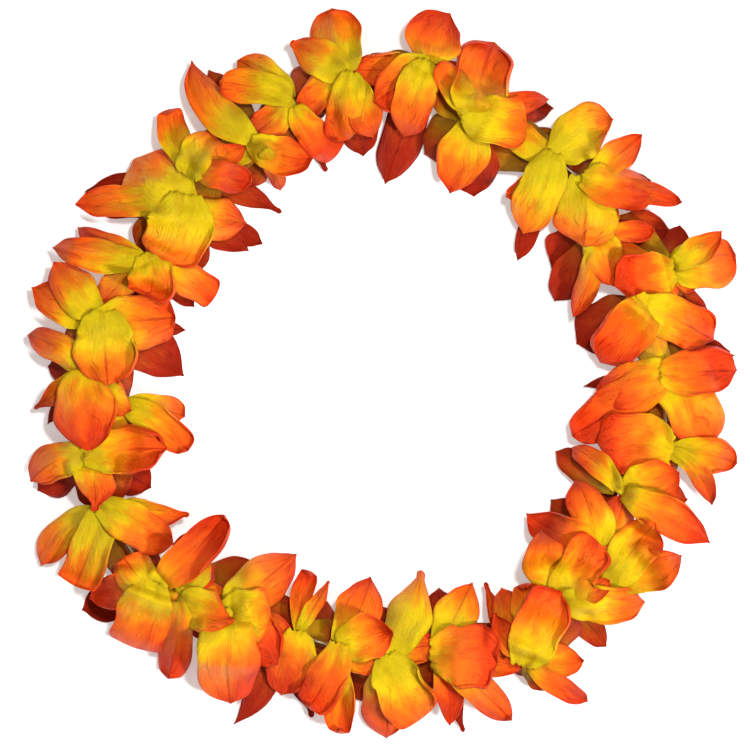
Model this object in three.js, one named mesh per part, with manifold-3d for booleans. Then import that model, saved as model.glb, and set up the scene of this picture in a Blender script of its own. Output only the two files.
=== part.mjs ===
// A cloth flower lei laid flat in a closed loop: blooms and clear spacer tubes threaded on one cord.
// Units are millimetres and +Z is up. The lei rests on z = 0, with its box centred on the Z axis.

import * as THREE from "three";
import { mergeVertices } from "three/addons/utils/BufferGeometryUtils.js";
import Module from "manifold-3d";

// Driving dimensions
const MM_PER_PX = 0.571; // the plan is read in pixels: the laid loop is then 1.0 m round
const PLAN_CENTRE = { x: 382.5, y: 373.5 }; // the plan point on the Z axis, in pixels, y down
const CORD_HEIGHT = 26; // the cord's axis above the surface
const CORD_WAVE = 1.2; // the cord rises and falls this much from bloom to bloom
const CORD_RADIUS = 0.6;
const KNOT_RADIUS = 1.7;
const TUBE_RADIUS = 2.0; // clear spacer tube, outside
const TUBE_BORE_RADIUS = 1.3;
const TUBE_SETBACK = 3.2; // from a bloom's eye centre to the tube's end
const EYE_RADIUS = 4.6; // the pierced middle of a bloom, a disc square to the cord
const EYE_THICKNESS = 2.0;
const EYE_ROOM = 0.3; // between the cord and the edge of an eye's hole
const ROOT_RING_RADIUS = 3.8; // petals leave the eye on this ring
const ROOT_HALF_WIDTH = 1.9;
const PETAL_THICKNESS = 1.2; // measured upright
const ROOT_THICKNESS = 1.6; // the same at the root
const PETAL_GAP = 0.5; // upright space left between petals of two blooms
const STEEPEST = 1.6; // rise over run along a petal
const OWN_REACH = 9; // nearer than this to its eye, a bloom's petals grow into each other
const LOW_TIP_HEIGHT = 2.4;
const SIDE_TIP_HEIGHT = 11; // tips of petals that leave the cord squarely
const TOP_TIP_HEIGHT = 27; // tips of petals that lie along the cord
const LEAST_UNDERSIDE = 1.2; // every petal but a foot stays this high above the surface

// A petal's shape: lengths in mm, and the rest as shares of its own length or half width
const ROOT_SPREAD = 0.8; // how far round the ring the root of a petal square to the cord sits
const ROOT_SINK = 0.9; // roots start this far behind the ring's middle
const LEAST_HALF_WIDTH = 1.6;
const ARCH_SIDE = 3; // rise of the middle over the straight way, for a petal square to the cord
const ARCH_ALONG = 4; // what is added to it for one along the cord
const FALL = 1.35; // how late a petal falls: 1 is a straight way down to its tip
const LOW_FALL = 1.7; // how early a low petal falls
const CUP = 0.05; // both edges hang this much
const CUP_SPREAD = 0.12;
const FOLD_DROP = 0.45; // edges of a petal folded lengthwise
const EDGE_TILT = 0.9; // a petal on its edge
const CURL_LIFT = 4;
const ROOT_SPREAD_UP = 0.2; // the heights drawn for roots, tips and low tips vary by this much
const TIP_SPREAD = 2.5;

// The height map that the petals are stacked on
const CELL = 0.5;
const MAP_HALF = 230;
const NET = 0.4; // between the points where a petal is compared with the map
const EYE_NEIGHBOURHOOD = 12; // farther than this from an eye, nothing of its own map counts
const PASSES = [0.5, 0.5, 0.3, 0.2, 0.2, 0.1]; // the least weight by which a point lifts a row, pass by pass

// Rows of a petal from root to tip, as shares of its length, and the half width at each of them.
// Slim and low petals leave out one row.
const ROWS = [0, 0.15, 0.42, 0.74, 1];
const FEWER_ROWS = [0, 0.15, 0.6, 1];
const SLIM = 19; // px
const OUTLINES = {
  plain: { half: [0, 0.36, 0.78, 1, 0.6], fewer: [0, 0.36, 1, 0.6], back: 0.13 },
  point: { half: [0, 0.38, 0.84, 0.96, 0.34], fewer: [0, 0.38, 1, 0.34], back: 0.15 },
  round: { half: [0, 0.34, 0.74, 1, 0.7], fewer: [0, 0.34, 0.95, 0.8], back: 0.14 },
  square: { half: [0, 0.34, 0.74, 1, 0.92], fewer: [0, 0.34, 0.95, 0.95], back: 0.05 },
  knob: { half: [0, 0.42, 1, 0.72, 0.26], fewer: [0, 0.42, 1, 0.26], back: 0.05 },
};

// Each bloom: its eye, its level in the overlap (a higher one lies on a lower one), and its petals.
// A petal is [tip x, tip y, greatest width, kind, sideways bow, level of its own], in pixels, y down.
// A bow is positive to the left of the way from eye to tip. Kinds: point, round, square and knob tips;
// fold is folded lengthwise, edge stands on its edge, curl has a raised tip, low lies underneath, and
// foot is a low petal that the lei rests on.
const BLOOMS = [
  { eye: [472, 118], level: 30, petals: [
    [526, 125, 44, "square"], [549, 98, 24, "point"], [495, 41, 52, "round"], [436, 66, 28, "point"],
    [450, 193, 46, "point"], [474, 196, 38, "low"], [555, 107, 24, "low"], [424, 152, 36, "low"]] },
  { eye: [427, 68], level: 29, petals: [
    [448, 10, 52, "point"], [372, 100, 44, "plain"], [400, 136, 38, "plain"], [384, 183, 32, "low"],
    [462, 88, 28, "low"]] },
  { eye: [348, 78], level: 28, petals: [
    [333, 8, 38, "fold"], [290, 44, 35, "knob"], [340, 142, 34, "plain"], [376, 137, 32, "plain"],
    [365, 155, 30, "low"], [405, 58, 24, "foot"]] },
  { eye: [293, 104], level: 27, petals: [
    [238, 58, 32, "plain"], [221, 80, 32, "plain"], [335, 157, 30, "square"], [327, 170, 20, "low knob"],
    [328, 96, 26, "low"]] },
  { eye: [258, 145], level: 26, petals: [
    [213, 131, 12, "edge curl", -8], [313, 158, 34, "plain"], [280, 190, 16, "fold"],
    [196, 59, 30, "point", 8], [208, 68, 24, "low"], [240, 186, 28, "low"]] },
  { eye: [195, 170], level: 25, petals: [
    [166, 110, 28, "curl"], [216, 138, 40, "plain"], [249, 152, 22, "plain"], [250, 188, 27, "plain"],
    [282, 210, 20, "low knob"], [158, 178, 28, "low"]] },
  { eye: [185, 205], level: 24, petals: [
    [135, 157, 60, "round"], [84, 190, 34, "low round"], [76, 209, 28, "round"], [165, 264, 60, "round"],
    [246, 227, 35, "point"], [262, 244, 20, "low"], [247, 252, 26, "low point"], [198, 273, 25, "low"]] },
  { eye: [148, 262], level: 23, petals: [
    [76, 227, 22, "point"], [52, 248, 30, "fold"], [150, 298, 42, "curl"], [216, 295, 30, "square"],
    [192, 308, 16, "low"], [118, 290, 25, "low"]] },
  { eye: [103, 320], level: 22, petals: [
    [33, 284, 40, "point"], [56, 261, 38, "point"], [176, 318, 50, "round"], [107, 385, 56, "round"],
    [183, 376, 38, "low point"], [185, 329, 14, "low"]] },
  { eye: [88, 371], level: 21, petals: [
    [27, 334, 24, "plain"], [46, 366, 22, "low"], [33, 408, 20, "knob"], [131, 414, 26, "plain"],
    [90, 452, 56, "point"], [110, 400, 28, "low"], [45, 424, 14, "low point"]] },
  { eye: [123, 403], level: 18.5, petals: [
    [184, 419, 26, "fold"], [187, 452, 30, "plain"], [72, 400, 30, "low"], [104, 446, 30, "low"]] },
  { eye: [90, 454], level: 19, petals: [
    [167, 452, 42, "round"], [98, 511, 36, "knob"], [29, 481, 28, "fold"], [36, 492, 30, "low"],
    [90, 509, 25, "low"], [150, 489, 30, "low"]] },
  { eye: [106, 511], level: 18, petals: [
    [40, 567, 30, "fold"], [80, 583, 24, "low"], [76, 586, 38, "square"], [155, 505, 24, "plain"],
    [175, 545, 38, "plain"], [189, 511, 25, "knob"]] },
  { eye: [156, 587], level: 17, petals: [
    [125, 556, 36, "plain"], [88, 597, 30, "plain"], [133, 648, 46, "square"], [80, 613, 30, "foot"],
    [197, 526, 26, "edge"], [223, 514, 36, "point"]] },
  { eye: [181, 597], level: 16, petals: [
    [214, 566, 25, "plain"], [207, 549, 30, "curl"], [236, 617, 38, "knob"], [167, 678, 30, "fold"],
    [195, 632, 20, "low"], [262, 566, 30, "low"]] },
  { eye: [231, 613], level: 15, petals: [
    [272, 616, 50, "round"], [281, 661, 50, "point"], [226, 704, 50, "fold"],
    [232, 726, 28, "low point", 34], [299, 558, 44, "point"]] },
  { eye: [298, 635], level: 14, petals: [
    [310, 571, 20, "curl"], [329, 581, 14, "knob"], [330, 664, 18, "low"], [284, 697, 42, "plain"],
    [313, 719, 24, "low knob"], [262, 598, 30, "low"]] },
  { eye: [338, 647], level: 13, petals: [
    [374, 578, 42, "point"], [391, 626, 42, "knob"], [394, 612, 14, "low"], [335, 733, 28, "curl"],
    [308, 706, 36, "curl", 0, 14.5], [300, 600, 28, "low"]] },
  { eye: [389, 659], level: 12, petals: [
    [425, 572, 38, "knob"], [387, 740, 48, "point"], [421, 719, 46, "square"], [352, 700, 34, "low"],
    [372, 606, 30, "low"], [436, 690, 30, "low"]] },
  { eye: [440, 652], level: 11, petals: [
    [473, 583, 38, "point"], [497, 660, 56, "round"], [449, 726, 24, "point"], [463, 734, 18, "low knob"],
    [508, 722, 28, "point"], [440, 589, 26, "low"]] },
  { eye: [526, 658], level: 10, petals: [
    [481, 585, 20, "knob"], [498, 588, 30, "plain"], [523, 583, 28, "curl"],
    [490, 614, 24, "knob", 6], [530, 603, 12, "edge"], [560, 590, 46, "round"],
    [582, 655, 32, "point"], [586, 705, 16, "edge", 6], [513, 674, 16, "low"], [556, 690, 24, "low"]] },
  { eye: [565, 598], level: 9, petals: [
    [541, 529, 38, "point"], [599, 543, 40, "square"], [645, 603, 34, "round"], [610, 581, 18, "plain"],
    [608, 648, 20, "low"], [555, 545, 30, "low"]] },
  { eye: [613, 577], level: 8, petals: [
    [655, 523, 40, "round", -1], [680, 553, 38, "point"], [625, 590, 24, "low"], [590, 622, 30, "low"]] },
  { eye: [598, 545], level: 6, petals: [
    [579, 478, 38, "point"], [528, 512, 36, "point"], [552, 500, 24, "low"], [646, 566, 30, "low"],
    [560, 586, 28, "low"]] },
  { eye: [619, 491], level: 7, petals: [
    [678, 470, 42, "point"], [688, 516, 30, "plain"], [709, 546, 30, "point"], [575, 444, 22, "plain"],
    [556, 452, 24, "low"], [690, 500, 30, "foot"]] },
  { eye: [666, 450], level: 5, petals: [
    [598, 447, 56, "round"], [738, 462, 24, "point"], [711, 506, 16, "edge", 5], [694, 418, 30, "low"],
    [640, 500, 34, "low"]] },
  { eye: [664, 372], level: 4, petals: [
    [598, 402, 38, "plain"], [736, 355, 22, "point"], [738, 373, 36, "plain"], [732, 350, 30, "low"],
    [712, 448, 50, "plain"], [572, 436, 42, "plain"], [585, 388, 12, "low point"]] },
  { eye: [648, 308], level: 3, petals: [
    [607, 326, 34, "plain"], [594, 314, 16, "low knob"], [712, 343, 42, "round", 0, 4.5],
    [600, 362, 46, "round"], [578, 345, 45, "low"]] },
  { eye: [667, 270], level: 2, petals: [
    [703, 279, 30, "plain"], [614, 288, 45, "round"], [736, 256, 36, "fold"], [721, 230, 25, "point", -1],
    [680, 224, 20, "low"], [708, 330, 20, "low"]] },
  { eye: [597, 238], level: 1, petals: [
    [655, 234, 19, "plain"], [672, 228, 32, "low"], [612, 287, 36, "curl"], [576, 319, 22, "point"],
    [552, 267, 45, "low"], [557, 302, 30, "low"]] },
  { eye: [587, 184], level: 1.5, petals: [
    [578, 246, 56, "round"], [655, 190, 38, "plain"], [653, 181, 14, "low"], [682, 200, 22, "point"],
    [644, 137, 28, "point"], [541, 206, 30, "low"]] },
  { eye: [552, 158], level: 1.8, petals: [
    [614, 124, 42, "point"], [524, 132, 30, "low"], [520, 232, 42, "plain"], [549, 209, 16, "plain"],
    [507, 201, 20, "plain"], [600, 147, 26, "low"], [580, 180, 24, "low"], [519, 261, 18, "low curl"]] },
];
const KNOT_SPAN = 9; // the stretch of cord, counted from the first bloom, that holds the knot
const SPANS_WITHOUT_TUBE = [8, 9, 14, 22, 27]; // blooms that stand close together

// Looks
const CLOTH = { color: 0xe87a1c, roughness: 0.6, metalness: 0 };
const CORD_LOOK = { color: 0xd9cdb4, roughness: 0.8, metalness: 0 };
const TUBE_LOOK = { color: 0xdfe6e6, roughness: 0.15, metalness: 0, transparent: true, opacity: 0.45 };

const wasm = await Module();
wasm.setup();

// Seeded draws between -1 and 1, the same in each build
let seed = 11;
function draw() {
  seed = (seed * 1664525 + 1013904223) % 4294967296;
  return (seed / 4294967296) * 2 - 1;
}

function planPoint([x, y]) {
  return new THREE.Vector2((x - PLAN_CENTRE.x) * MM_PER_PX, (PLAN_CENTRE.y - y) * MM_PER_PX);
}

function solidFrom(vertProperties, triVerts) {
  return new wasm.Manifold(new wasm.Mesh({
    numProp: 3,
    vertProperties: new Float32Array(vertProperties),
    triVerts: new Uint32Array(triVerts),
  }));
}

function solidFromGeometry(geometry) {
  geometry.deleteAttribute("normal");
  geometry.deleteAttribute("uv");
  const merged = mergeVertices(geometry, 1e-4);
  return solidFrom(merged.attributes.position.array, merged.index.array);
}

function geometryOf(solid) {
  const mesh = solid.getMesh();
  const geometry = new THREE.BufferGeometry();
  geometry.setAttribute("position", new THREE.BufferAttribute(mesh.vertProperties, 3));
  geometry.setIndex(new THREE.BufferAttribute(mesh.triVerts, 1));
  return geometry;
}

// The eyes, in order along the cord
const eyes = BLOOMS.map(({ eye }, k) => {
  const plan = planPoint(eye);
  return new THREE.Vector3(plan.x, plan.y, CORD_HEIGHT + CORD_WAVE * Math.sin(k * 1.9));
});
const eyeAfter = (k) => eyes[(k + 1) % eyes.length];
const eyeBefore = (k) => eyes[(k + eyes.length - 1) % eyes.length];
const cordWay = eyes.map((_, k) => eyeAfter(k).clone().sub(eyeBefore(k)).normalize());

// The height map that petals are stacked on, and the same for what grows from each bloom's own eye
const MAP_SIDE = Math.round((2 * MAP_HALF) / CELL);
const heights = new Float32Array(MAP_SIDE * MAP_SIDE).fill(-1);
const ownHeights = BLOOMS.map(() => new Map());

const cellOf = (x, y) =>
  Math.round((x + MAP_HALF) / CELL) * MAP_SIDE + Math.round((y + MAP_HALF) / CELL);

function raise(x, y, z) {
  const cell = cellOf(x, y);
  heights[cell] = Math.max(heights[cell], z);
}

function raiseOwn(k, x, y, z) {
  const cell = cellOf(x, y);
  ownHeights[k].set(cell, Math.max(ownHeights[k].get(cell) ?? -1, z));
}

// The height of what a petal of bloom k has to clear at a point of the plan
function heightFor(k, x, y) {
  const cell = cellOf(x, y);
  let height = heights[cell];
  eyes.forEach((eye, other) => {
    const away = Math.max(Math.abs(eye.x - x), Math.abs(eye.y - y));
    if (other === k || away > EYE_NEIGHBOURHOOD) return;
    height = Math.max(height, ownHeights[other].get(cell) ?? -1);
  });
  return height;
}

// Calls visit(x, y, z, corners, weights) on a fine net of points over each triangle of a sheet
function overSheet({ points, rows }, visit) {
  for (const triangle of sheetTriangles(rows.length)) {
    const [a, b, c] = triangle.map((i) => points[i]);
    const steps = Math.ceil(Math.max(a.distanceTo(b), b.distanceTo(c), c.distanceTo(a)) / NET);
    for (let i = 0; i <= steps; i++)
      for (let j = 0; j <= steps - i; j++) {
        const u = i / steps;
        const v = j / steps;
        const w = 1 - u - v;
        visit(
          a.x * w + b.x * u + c.x * v,
          a.y * w + b.y * u + c.y * v,
          a.z * w + b.z * u + c.z * v,
          triangle,
          [w, u, v],
        );
      }
  }
}

// A sheet has two root points and then rows of three, split alike on both sides of its middle line
const leftOf = (row) => row * 3 - 1;
const rowOf = (point) => (point < 2 ? 0 : Math.floor((point + 1) / 3));

function sheetTriangles(rows) {
  const triangles = [[0, 1, 3], [0, 3, 2], [1, 4, 3]];
  for (let row = 1; row < rows - 1; row++) {
    const [left, middle, right] = [leftOf(row), leftOf(row) + 1, leftOf(row) + 2];
    triangles.push([left, middle, middle + 3], [left, middle + 3, left + 3]);
    triangles.push([middle, right, middle + 3], [right, right + 3, middle + 3]);
  }
  return triangles;
}

function sheetEdge(rows) {
  const edge = [0, 1];
  for (let row = 1; row < rows; row++) edge.push(leftOf(row) + 2);
  edge.push(leftOf(rows - 1) + 1);
  for (let row = rows - 1; row > 0; row--) edge.push(leftOf(row));
  return edge;
}

// A closed blade: the sheet's points and the same points one thickness lower
function bladeFrom({ points, rows }) {
  const count = points.length;
  const edge = sheetEdge(rows.length);
  const below = points.map((p, i) => {
    const thickness = rowOf(i) === 0 ? ROOT_THICKNESS : PETAL_THICKNESS;
    return new THREE.Vector3(p.x, p.y, p.z - thickness);
  });
  const positions = [...points, ...below].flatMap((p) => [p.x, p.y, p.z]);
  const faces = [];
  for (const [a, b, c] of sheetTriangles(rows.length))
    faces.push(a, b, c, a + count, c + count, b + count);
  edge.forEach((p, i) => {
    const q = edge[(i + 1) % edge.length];
    const rises = points[q].z > points[p].z;
    if (rises) faces.push(p + count, q + count, p, q + count, q, p);
    else faces.push(p + count, q + count, q, p + count, q, p);
  });
  return solidFrom(positions, faces);
}

// One petal: its plan and its shape when nothing lies under it
function petalSheet(k, [tipX, tipY, width, kind, bow = 0]) {
  const eye = eyes[k];
  const tip = planPoint([tipX, tipY]);
  const way = tip.clone().sub(new THREE.Vector2(eye.x, eye.y)).normalize();
  const cord = new THREE.Vector2(cordWay[k].x, cordWay[k].y).normalize();
  const side = new THREE.Vector2(-cord.y, cord.x);
  const low = kind.includes("low") || kind.includes("foot");
  const sideways = way.dot(side);
  const along = Math.abs(way.dot(cord));

  // The root sits on the eye's ring, above the cord or under it
  const offset = ROOT_SPREAD * sideways;
  const rise = Math.sqrt(1 - offset * offset) * (low ? -1 : 1);
  const root = new THREE.Vector2(eye.x, eye.y)
    .addScaledVector(side, ROOT_RING_RADIUS * offset)
    .addScaledVector(way, -ROOT_SINK);
  const rootZ = eye.z + ROOT_RING_RADIUS * rise + PETAL_THICKNESS / 2 + ROOT_SPREAD_UP * draw();

  const span = tip.clone().sub(root);
  const left = new THREE.Vector2(-span.y, span.x).normalize();
  const bend = root.clone().lerp(tip, 0.5).addScaledVector(left, 2 * bow * MM_PER_PX);
  const curve = new THREE.QuadraticBezierCurve(root, bend, tip);
  const length = curve.getLength();

  const outline = OUTLINES[Object.keys(OUTLINES).find((name) => kind.includes(name)) ?? "plain"];
  const widest = (width * MM_PER_PX) / 2;
  const simple = low || width < SLIM;
  const rows = simple ? FEWER_ROWS : ROWS;
  const halves = simple ? outline.fewer : outline.half;
  const flatFrom = kind.includes("foot") ? rows.length - 2 : rows.length;
  const tipHeight = low
    ? LOW_TIP_HEIGHT + Math.abs(draw())
    : THREE.MathUtils.lerp(SIDE_TIP_HEIGHT, TOP_TIP_HEIGHT, along * along) + TIP_SPREAD * draw();
  const arch = low ? 0 : ARCH_SIDE + ARCH_ALONG * along + draw();
  const cup = CUP_SPREAD * draw() - CUP;

  const points = [];
  const middles = [];
  rows.forEach((s, row) => {
    const centre = curve.getPoint(s);
    const ahead = curve.getTangent(s);
    const across = new THREE.Vector2(-ahead.y, ahead.x);
    const half = row === 0 ? ROOT_HALF_WIDTH : Math.max(widest * halves[row], LEAST_HALF_WIDTH);
    const last = row === rows.length - 1;
    const back = last ? outline.back * length : 0;
    const fall = low ? 1 - Math.pow(1 - s, LOW_FALL) : Math.pow(s, FALL);
    const z = rootZ + (tipHeight + PETAL_THICKNESS - rootZ) * fall + arch * Math.sin(Math.PI * s);
    let leftLift = cup * half;
    let rightLift = cup * half;
    let middleLift = 0;
    if (row > 0 && kind.includes("fold")) {
      leftLift = -FOLD_DROP * half;
      rightLift = -FOLD_DROP * half;
    }
    if (row > 0 && kind.includes("edge")) {
      leftLift = EDGE_TILT * half;
      rightLift = -EDGE_TILT * half;
    }
    if (last && kind.includes("curl")) middleLift = CURL_LIFT;
    const flat = row >= flatFrom;
    if (row === 0 || flat) {
      leftLift = 0;
      rightLift = 0;
    }
    const height = flat ? PETAL_THICKNESS : z + middleLift;
    const leftPlan = centre.clone().addScaledVector(across, half).addScaledVector(ahead, -back);
    const rightPlan = centre.clone().addScaledVector(across, -half).addScaledVector(ahead, -back);
    const edgeZ = flat ? PETAL_THICKNESS : z + middleLift / 2;
    points.push(new THREE.Vector3(leftPlan.x, leftPlan.y, edgeZ + leftLift));
    if (row > 0) points.push(new THREE.Vector3(centre.x, centre.y, height));
    points.push(new THREE.Vector3(rightPlan.x, rightPlan.y, edgeZ + rightLift));
    middles.push(s * length);
  });
  const floor = kind.includes("foot") ? 0 : LEAST_UNDERSIDE;
  points.forEach((p) => (p.z = Math.max(p.z, floor + PETAL_THICKNESS)));
  return { points, middles, rows };
}

// How far each row still has to rise for the sheet to clear what is stacked under it
function shortfall(k, sheet, leastWeight) {
  const lift = sheet.rows.map(() => 0);
  overSheet(sheet, (x, y, z, corners, weights) => {
    const need = heightFor(k, x, y) + PETAL_GAP - (z - PETAL_THICKNESS);
    if (need <= 0) return;
    const share = sheet.rows.map(() => 0);
    corners.forEach((corner, i) => (share[rowOf(corner)] += weights[i]));
    share.forEach((weight, row) => {
      if (row > 0 && weight > leastWeight) lift[row] = Math.max(lift[row], need);
    });
  });
  return lift;
}

function raiseRows(sheet, lift) {
  sheet.points.forEach((p, i) => (p.z += lift[rowOf(i)]));
}

const middleOf = (row) => (row === 0 ? 0 : leftOf(row) + 1);

// Raises a petal's rows until it clears what is under it and no stretch past the root is too steep
function settle(k, sheet) {
  for (const leastWeight of PASSES) raiseRows(sheet, shortfall(k, sheet, leastWeight));
  const before = sheet.rows.map((_, row) => sheet.points[middleOf(row)].z);
  const after = [...before];
  const run = (row) => sheet.middles[row + 1] - sheet.middles[row];
  for (let row = after.length - 2; row > 0; row--)
    after[row] = Math.max(after[row], after[row + 1] - STEEPEST * run(row));
  for (let row = 1; row < after.length; row++)
    after[row] = Math.max(after[row], after[row - 1] - STEEPEST * run(row - 1));
  raiseRows(sheet, after.map((z, row) => z - before[row]));
}

// Puts a settled petal into the height map
function stack(k, sheet) {
  const eye = eyes[k];
  overSheet(sheet, (x, y, z) => {
    if (Math.hypot(x - eye.x, y - eye.y) < OWN_REACH) raiseOwn(k, x, y, z);
    else raise(x, y, z);
  });
}

// Petals from the lowest to the highest
const petals = BLOOMS.flatMap(({ level, petals: list }, k) =>
  list.map((petal) => {
    const low = petal[3].includes("low") || petal[3].includes("foot");
    return { k, petal, order: (petal[5] ?? level) - (low ? 100 : 0) };
  }),
).sort((a, b) => a.order - b.order);

const blades = BLOOMS.map(() => []);
const lowPetals = petals.filter(({ order }) => order < 0);
const highPetals = petals.filter(({ order }) => order >= 0);

function place({ k, petal }) {
  const sheet = petalSheet(k, petal);
  settle(k, sheet);
  stack(k, sheet);
  blades[k].push(bladeFrom(sheet));
}

lowPetals.forEach(place);

// The high petals clear the eyes and the cord too
eyes.forEach((eye, k) => {
  const cord = new THREE.Vector2(cordWay[k].x, cordWay[k].y).normalize();
  for (let across = -EYE_RADIUS; across <= EYE_RADIUS; across += CELL)
    for (let along = -EYE_THICKNESS; along <= EYE_THICKNESS; along += CELL)
      raiseOwn(
        k,
        eye.x + cord.x * along - cord.y * across,
        eye.y + cord.y * along + cord.x * across,
        eye.z + EYE_RADIUS,
      );
  const next = eyeAfter(k);
  const way = new THREE.Vector2(next.x - eye.x, next.y - eye.y);
  const run = way.length();
  way.normalize();
  for (let along = TUBE_SETBACK; along <= run - TUBE_SETBACK; along += CELL)
    for (let across = -TUBE_RADIUS; across <= TUBE_RADIUS; across += CELL)
      raise(
        eye.x + way.x * along - way.y * across,
        eye.y + way.y * along + way.x * across,
        THREE.MathUtils.lerp(eye.z, next.z, along / run) + TUBE_RADIUS,
      );
});

highPetals.forEach(place);

const RING_SIDES = 6; // of eyes and tubes

// A closed ring of rectangular section round a line, from a point along a way
function ring(from, way, length, inner, outer, sides) {
  const profile = [[inner, 0], [outer, 0], [outer, length], [inner, length], [inner, 0]];
  const geometry = new THREE.LatheGeometry(profile.map(([x, y]) => new THREE.Vector2(x, y)), sides);
  geometry.applyQuaternion(new THREE.Quaternion().setFromUnitVectors(new THREE.Vector3(0, 1, 0), way));
  return geometry.translate(from.x, from.y, from.z);
}

// A bloom: its petals joined to its eye, whose hole leaves room for the cord's bend
function bloom(k) {
  const eye = eyes[k];
  const way = cordWay[k];
  const halfBend = Math.max(
    way.angleTo(eyeAfter(k).clone().sub(eye)),
    way.angleTo(eye.clone().sub(eyeBefore(k))),
  );
  const hole = CORD_RADIUS / Math.cos(halfBend) + (EYE_THICKNESS / 2) * Math.tan(halfBend) + EYE_ROOM;
  const start = eye.clone().addScaledVector(way, -EYE_THICKNESS / 2);
  let solid = solidFromGeometry(ring(start, way, EYE_THICKNESS, hole, EYE_RADIUS, RING_SIDES));
  for (const blade of blades[k]) solid = solid.add(blade);
  const shells = solid.decompose();
  return shells.find((shell) => shell.volume() > 0); // a small hollow shut in by petals is filled
}

// The cord: a closed ring of straight stretches, mitred at each eye
const CORD_SIDES = 6;
function cordSolid() {
  const positions = [];
  const faces = [];
  eyes.forEach((eye, k) => {
    const way = cordWay[k];
    const side = new THREE.Vector3(-way.y, way.x, 0).normalize();
    const up = way.clone().cross(side);
    for (let i = 0; i < CORD_SIDES; i++) {
      const angle = (i / CORD_SIDES) * 2 * Math.PI;
      positions.push(...eye.clone()
        .addScaledVector(side, CORD_RADIUS * Math.cos(angle))
        .addScaledVector(up, CORD_RADIUS * Math.sin(angle)).toArray());
      const here = k * CORD_SIDES;
      const there = ((k + 1) % eyes.length) * CORD_SIDES;
      const next = (i + 1) % CORD_SIDES;
      faces.push(here + i, there + next, there + i, here + i, here + next, there + next);
    }
  });
  const ring = solidFrom(positions, faces);
  const middle = eyes[KNOT_SPAN].clone().lerp(eyeAfter(KNOT_SPAN), 0.5);
  const knot = new THREE.IcosahedronGeometry(KNOT_RADIUS).translate(middle.x, middle.y, middle.z);
  return ring.add(solidFromGeometry(knot));
}

// A clear spacer tube on one stretch of cord
function tube(k) {
  const way = eyeAfter(k).clone().sub(eyes[k]);
  const length = way.length() - 2 * TUBE_SETBACK;
  way.normalize();
  const start = eyes[k].clone().addScaledVector(way, TUBE_SETBACK);
  return ring(start, way, length, TUBE_BORE_RADIUS, TUBE_RADIUS, RING_SIDES);
}

const lei = new THREE.Group();
function addPiece(name, geometry, look) {
  const mesh = new THREE.Mesh(geometry, new THREE.MeshStandardMaterial(look));
  mesh.name = name;
  lei.add(mesh);
}

const twoDigits = (number) => String(number).padStart(2, "0");
BLOOMS.forEach((_, k) => addPiece(`bloom_${twoDigits(k + 1)}`, geometryOf(bloom(k)), CLOTH));
addPiece("cord", geometryOf(cordSolid()), CORD_LOOK);
BLOOMS.forEach((_, k) => {
  if (SPANS_WITHOUT_TUBE.includes(k)) return;
  addPiece(`tube_${twoDigits(k + 1)}`, tube(k), TUBE_LOOK);
});

export default lei;
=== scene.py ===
# A cloth flower lei laid flat in a closed loop, seen from straight above on a pale floor.
# Each petal is a thin sheet of pressed cloth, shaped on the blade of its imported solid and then
# settled on the petals under it. Lengths are in mm unless px is said, and the meshes are in metres.

import math

import bpy
import numpy as np
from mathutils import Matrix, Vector


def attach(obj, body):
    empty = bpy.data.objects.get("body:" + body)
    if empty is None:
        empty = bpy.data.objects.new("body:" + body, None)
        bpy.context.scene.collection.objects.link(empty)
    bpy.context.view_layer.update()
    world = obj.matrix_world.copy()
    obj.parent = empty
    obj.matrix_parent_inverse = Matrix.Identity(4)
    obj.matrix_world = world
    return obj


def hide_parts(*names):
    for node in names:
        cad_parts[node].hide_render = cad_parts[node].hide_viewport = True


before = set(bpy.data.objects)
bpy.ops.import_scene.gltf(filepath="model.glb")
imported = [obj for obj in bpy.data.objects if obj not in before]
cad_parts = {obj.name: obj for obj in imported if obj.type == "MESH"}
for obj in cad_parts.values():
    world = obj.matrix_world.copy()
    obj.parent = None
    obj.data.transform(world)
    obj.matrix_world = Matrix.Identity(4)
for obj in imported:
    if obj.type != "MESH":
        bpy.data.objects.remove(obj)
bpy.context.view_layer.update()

# The plan, as in the solids
MM_PER_PX = 0.571
MM_PER_M = 1000
M_PER_MM = 0.001
PLAN_CENTRE = (382.5, 373.5)  # px
CORD_HEIGHT = 26
CORD_WAVE = 1.2
CORD_WAVE_TURN = 1.9  # radians from one eye to the next
CORD_RADIUS = 0.6
TUBE_RADIUS = 2.0
TUBE_BORE_RADIUS = 1.3
TUBE_SETBACK = 3.2

# The blades of the solids: their rows from root to tip, and the half width at each row
ROOT_RING_RADIUS = 3.8
ROOT_SPREAD = 0.8
ROOT_SINK = 0.9
BLADE_THICKNESS = 1.2
LEAST_HALF_WIDTH = 1.6
CORNER_REACH = 0.05
LEAST_CORNER_HEIGHT = 0.8
ROWS = [0, 0.15, 0.42, 0.74, 1]
FEWER_ROWS = [0, 0.15, 0.6, 1]
SLIM = 19  # px, under which a petal has fewer rows
BROAD = 34  # px, from which a petal reaches over its eye
OUTLINES = {
    "plain": {"half": [0, 0.36, 0.78, 1, 0.6], "fewer": [0, 0.36, 1, 0.6], "back": 0.13},
    "point": {"half": [0, 0.38, 0.84, 0.96, 0.34], "fewer": [0, 0.38, 1, 0.34], "back": 0.15},
    "round": {"half": [0, 0.34, 0.74, 1, 0.7], "fewer": [0, 0.34, 0.95, 0.8], "back": 0.14},
    "square": {"half": [0, 0.34, 0.74, 1, 0.92], "fewer": [0, 0.34, 0.95, 0.95], "back": 0.05},
    "knob": {"half": [0, 0.42, 1, 0.72, 0.26], "fewer": [0, 0.42, 1, 0.26], "back": 0.05},
}

# How much earlier or later than its bloom a petal comes in the overlap
LOW_STEP = 100
COVER_STEP = 50
UNDER_STEP = 0.5
BROAD_STEP = 0.2

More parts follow.
